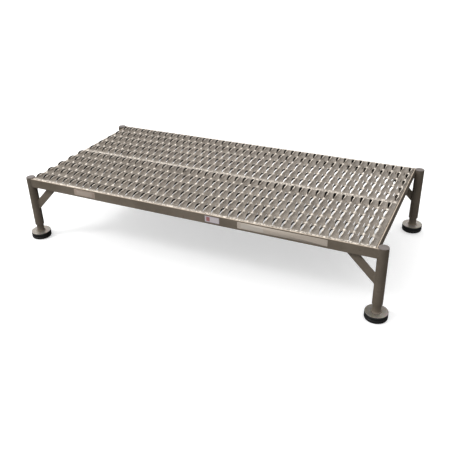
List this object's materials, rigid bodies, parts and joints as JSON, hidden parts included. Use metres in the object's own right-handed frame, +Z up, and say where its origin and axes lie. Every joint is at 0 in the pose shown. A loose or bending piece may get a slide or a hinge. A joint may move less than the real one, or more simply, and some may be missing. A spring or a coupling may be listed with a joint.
{
  "type": "adjustable work platform",
  "caption": "Low steel work platform with a serrated grating deck, angle-steel frame, braced corner posts and telescoping legs on rubber pads.",
  "frame": {"origin": "on the floor, in the middle of the four feet, legs fully in", "axes": "+X along the platform's length, +Y to its back (the button side), +Z up"},
  "size_m": [1.3208, 0.6464, 0.2478],
  "materials": {
    "rail_paint": "satin warm gray powder coat",
    "deck_paint": "satin warm gray coat with bright worn crests",
    "cap_paint": "satin gray",
    "leg_paint": "satin warm gray",
    "plate_zinc": "dull zinc",
    "pad_rubber": "black moulded rubber",
    "screw_steel": "zinc plated",
    "spring_steel": "bright spring steel",
    "pale_label": "matt printed film",
    "sticker": "matt printed film",
    "cream_label": "matt printed film"
  },
  "bodies": {
    "platform_frame": {"front_rail": "rail_paint", "back_rail": "rail_paint", "left_end_rail": "rail_paint", "right_end_rail": "rail_paint", "front_deck_plank": "deck_paint", "back_deck_plank": "deck_paint", "front_left_post": "rail_paint", "front_left_post_cap": "cap_paint", "front_left_brace": "rail_paint", "front_right_post": "rail_paint", "front_right_post_cap": "cap_paint", "front_right_brace": "rail_paint", "back_left_post": "rail_paint", "back_left_post_cap": "cap_paint", "back_left_brace": "rail_paint", "back_right_post": "rail_paint", "back_right_post_cap": "cap_paint", "back_right_brace": "rail_paint", "rating_label": "pale_label", "inspection_sticker": "sticker", "safety_label": "cream_label"},
    "front_left_leg": {"front_left_leg_tube": "leg_paint", "front_left_foot_plate": "plate_zinc", "front_left_rubber_pad": "pad_rubber", "front_left_pad_screw": "screw_steel"},
    "front_left_button": {"front_left_button_clip": "spring_steel"},
    "front_right_leg": {"front_right_leg_tube": "leg_paint", "front_right_foot_plate": "plate_zinc", "front_right_rubber_pad": "pad_rubber", "front_right_pad_screw": "screw_steel"},
    "front_right_button": {"front_right_button_clip": "spring_steel"},
    "back_left_leg": {"back_left_leg_tube": "leg_paint", "back_left_foot_plate": "plate_zinc", "back_left_rubber_pad": "pad_rubber", "back_left_pad_screw": "screw_steel"},
    "back_left_button": {"back_left_button_clip": "spring_steel"},
    "back_right_leg": {"back_right_leg_tube": "leg_paint", "back_right_foot_plate": "plate_zinc", "back_right_rubber_pad": "pad_rubber", "back_right_pad_screw": "screw_steel"},
    "back_right_button": {"back_right_button_clip": "spring_steel"}
  },
  "joints": [
    {"name": "front_left_leg_slide", "type": "slide", "parent": "platform_frame", "child": "front_left_leg", "axis": [0, 0, -1], "range_m": [0, 0.127]},
    {"name": "front_right_leg_slide", "type": "slide", "parent": "platform_frame", "child": "front_right_leg", "axis": [0, 0, -1], "range_m": [0, 0.127]},
    {"name": "back_left_leg_slide", "type": "slide", "parent": "platform_frame", "child": "back_left_leg", "axis": [0, 0, -1], "range_m": [0, 0.127]},
    {"name": "back_right_leg_slide", "type": "slide", "parent": "platform_frame", "child": "back_right_leg", "axis": [0, 0, -1], "range_m": [0, 0.127]},
    {"name": "front_left_button_press", "type": "slide", "parent": "front_left_leg", "child": "front_left_button", "axis": [0, -1, 0], "range_m": [0, 0.0058], "stiffness_N_per_m": 2500, "deforming": ["front_left_button_clip"]},
    {"name": "front_right_button_press", "type": "slide", "parent": "front_right_leg", "child": "front_right_button", "axis": [0, -1, 0], "range_m": [0, 0.0058], "stiffness_N_per_m": 2500, "deforming": ["front_right_button_clip"]},
    {"name": "back_left_button_press", "type": "slide", "parent": "back_left_leg", "child": "back_left_button", "axis": [0, -1, 0], "range_m": [0, 0.0058], "stiffness_N_per_m": 2500, "deforming": ["back_left_button_clip"]},
    {"name": "back_right_button_press", "type": "slide", "parent": "back_right_leg", "child": "back_right_button", "axis": [0, -1, 0], "range_m": [0, 0.0058], "stiffness_N_per_m": 2500, "deforming": ["back_right_button_clip"]}
  ]
}
